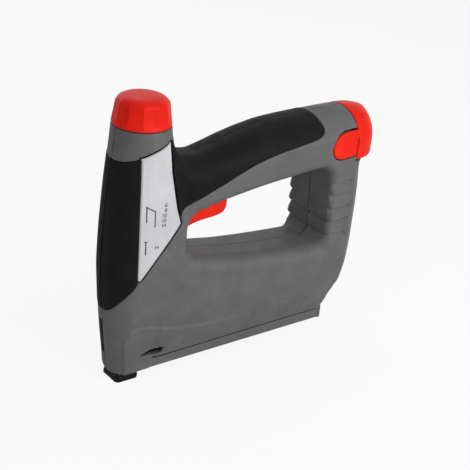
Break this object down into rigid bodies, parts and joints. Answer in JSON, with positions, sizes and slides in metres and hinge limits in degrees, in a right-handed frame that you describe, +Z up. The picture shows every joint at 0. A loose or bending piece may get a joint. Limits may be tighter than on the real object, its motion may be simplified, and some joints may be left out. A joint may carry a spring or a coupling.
{
  "type": "cordless stapler",
  "caption": "Handheld battery stapler with a closed hand opening, slide-out battery, turning power knob, trigger, spring driven hammer and sliding staple magazine.",
  "frame": {"origin": "middle of the nose's flat foot, on the plane where the two housing halves meet, 7 mm behind the staple exit", "axes": "+X from the nose back to the battery, +Z up the tower to the power knob, +Y to the side with the screw heads"},
  "size_m": [0.225, 0.0504, 0.2098],
  "materials": {
    "body_grey": "fine moulded grain, dark grey",
    "front_rubber": "soft matt black",
    "grip_rubber": "soft matt dark grey",
    "label_silver": "satin light grey",
    "red_plastic": "smooth red moulding",
    "trigger_plastic": "smooth red moulding",
    "nose_black": "blackened steel",
    "steel": "plain machined",
    "spring_steel": "drawn wire",
    "zinc": "die cast",
    "gear_plastic": "natural nylon",
    "foam": "closed cell foam",
    "board_green": "laminate",
    "board_black": "moulded",
    "contact_brass": "plain",
    "cell_sleeve": "shrink sleeve",
    "pack_plastic": "moulded, black"
  },
  "bodies": {
    "housing": {"housing_left": "body_grey", "housing_right": "body_grey", "front_grip_left": "front_rubber", "front_grip_right": "front_rubber", "label_plate_left": "label_silver", "label_plate_right": "label_silver", "handle_grip_left": "grip_rubber", "handle_grip_right": "grip_rubber", "housing_screws": "steel", "hammer_frame_foot": "zinc", "hammer_frame_top": "zinc", "guide_rods": "steel", "hammer_buffer": "foam", "reduction_axle": "steel", "gear_cheek_right": "steel", "gear_cheek_left": "steel", "motor_can": "steel", "motor_bracket": "steel", "motor_standoffs": "steel", "trigger_pin": "steel", "switch_body": "board_black", "switch_carrier": "board_black", "circuit_board": "board_green", "board_posts": "board_black", "board_parts": "board_black", "contact_block": "board_black", "contact_pins": "contact_brass", "nose_block": "nose_black", "nose_plate": "nose_black", "nose_screws": "steel", "magazine_track": "steel"},
    "knob": {"power_knob": "red_plastic", "adjusting_screw": "steel"},
    "seat": {"spring_seat": "steel"},
    "hammer_set": {"hammer": "steel", "driver_blade": "spring_steel", "lift_rack": "steel", "impact_spring": "spring_steel"},
    "lift_set": {"lift_pinion": "steel", "lift_wheel": "gear_plastic", "lift_axle": "steel"},
    "reduction": {"reduction_gear": "gear_plastic"},
    "armature": {"motor_pinion": "contact_brass", "motor_shaft": "steel"},
    "trigger_lever": {"trigger": "trigger_plastic", "trigger_spring": "spring_steel"},
    "button": {"switch_button": "red_plastic"},
    "battery": {"battery_case": "pack_plastic", "battery_cells": "cell_sleeve", "battery_cap": "red_plastic"},
    "tab_left": {"release_tab_left": "red_plastic"},
    "tab_right": {"release_tab_right": "red_plastic"},
    "magazine": {"magazine_rail": "body_grey", "staple_core": "steel", "rail_end": "body_grey", "staple_strip": "spring_steel", "pusher_spring": "spring_steel"},
    "feeder": {"pusher": "zinc"}
  },
  "joints": [
    {"name": "knob_turn", "type": "hinge", "parent": "housing", "child": "knob", "pos_m": [0.002, 0, 0.2], "axis": [0, 0, 1], "range_deg": [0, 300]},
    {"name": "seat_travel", "type": "slide", "parent": "housing", "child": "seat", "axis": [0, 0, 1], "range_m": [-0.0051, 0], "deforming": ["impact_spring"]},
    {"name": "lift_turn", "type": "hinge", "parent": "housing", "child": "lift_set", "pos_m": [0.028, 0, 0.062], "axis": [0, 1, 0], "range_deg": [0, 90]},
    {"name": "hammer_slide", "type": "slide", "parent": "housing", "child": "hammer_set", "axis": [0, 0, 1], "range_m": [0, 0.022], "deforming": ["impact_spring"]},
    {"name": "reduction_turn", "type": "hinge", "parent": "housing", "child": "reduction", "pos_m": [0.05441, 0, 0.05239], "axis": [0, 1, 0], "range_deg": [-225.1, 0]},
    {"name": "armature_turn", "type": "hinge", "parent": "housing", "child": "armature", "pos_m": [0.07451, 0, 0.05239], "axis": [0, 1, 0], "range_deg": [0, 900.1]},
    {"name": "trigger_squeeze", "type": "hinge", "parent": "housing", "child": "trigger_lever", "pos_m": [0.047, 0, 0.129], "axis": [0, -1, 0], "range_deg": [0, 7], "stiffness_Nm_per_rad": 1.2, "springref_deg": -2.86, "deforming": ["trigger_spring"]},
    {"name": "button_press", "type": "slide", "parent": "housing", "child": "button", "axis": [0, 0, 1], "range_m": [0, 0.0033]},
    {"name": "battery_slide", "type": "slide", "parent": "housing", "child": "battery", "axis": [1, 0, 0], "range_m": [0, 0.075]},
    {"name": "tab_left_press", "type": "slide", "parent": "battery", "child": "tab_left", "axis": [0, 1, 0], "range_m": [0, 0.0015], "stiffness_N_per_m": 2500, "springref_m": -0.001},
    {"name": "tab_right_press", "type": "slide", "parent": "battery", "child": "tab_right", "axis": [0, -1, 0], "range_m": [0, 0.0015], "stiffness_N_per_m": 2500, "springref_m": -0.001},
    {"name": "magazine_slide", "type": "slide", "parent": "housing", "child": "magazine", "axis": [1, 0, 0], "range_m": [0, 0.07]},
    {"name": "pusher_slide", "type": "slide", "parent": "magazine", "child": "feeder", "axis": [1, 0, 0], "range_m": [0, 0.085], "stiffness_N_per_m": 60, "springref_m": -0.06, "deforming": ["pusher_spring"]}
  ],
  "couplings": [
    {"joint": "seat_travel", "follows": "knob_turn", "m_per_rad": -0.00095493},
    {"joint": "hammer_slide", "follows": "lift_turn", "m_per_rad": 0.014},
    {"joint": "reduction_turn", "follows": "lift_turn", "ratio": -2.5},
    {"joint": "armature_turn", "follows": "lift_turn", "ratio": 10},
    {"joint": "button_press", "follows": "trigger_squeeze", "m_per_rad": 0.0262}
  ]
}
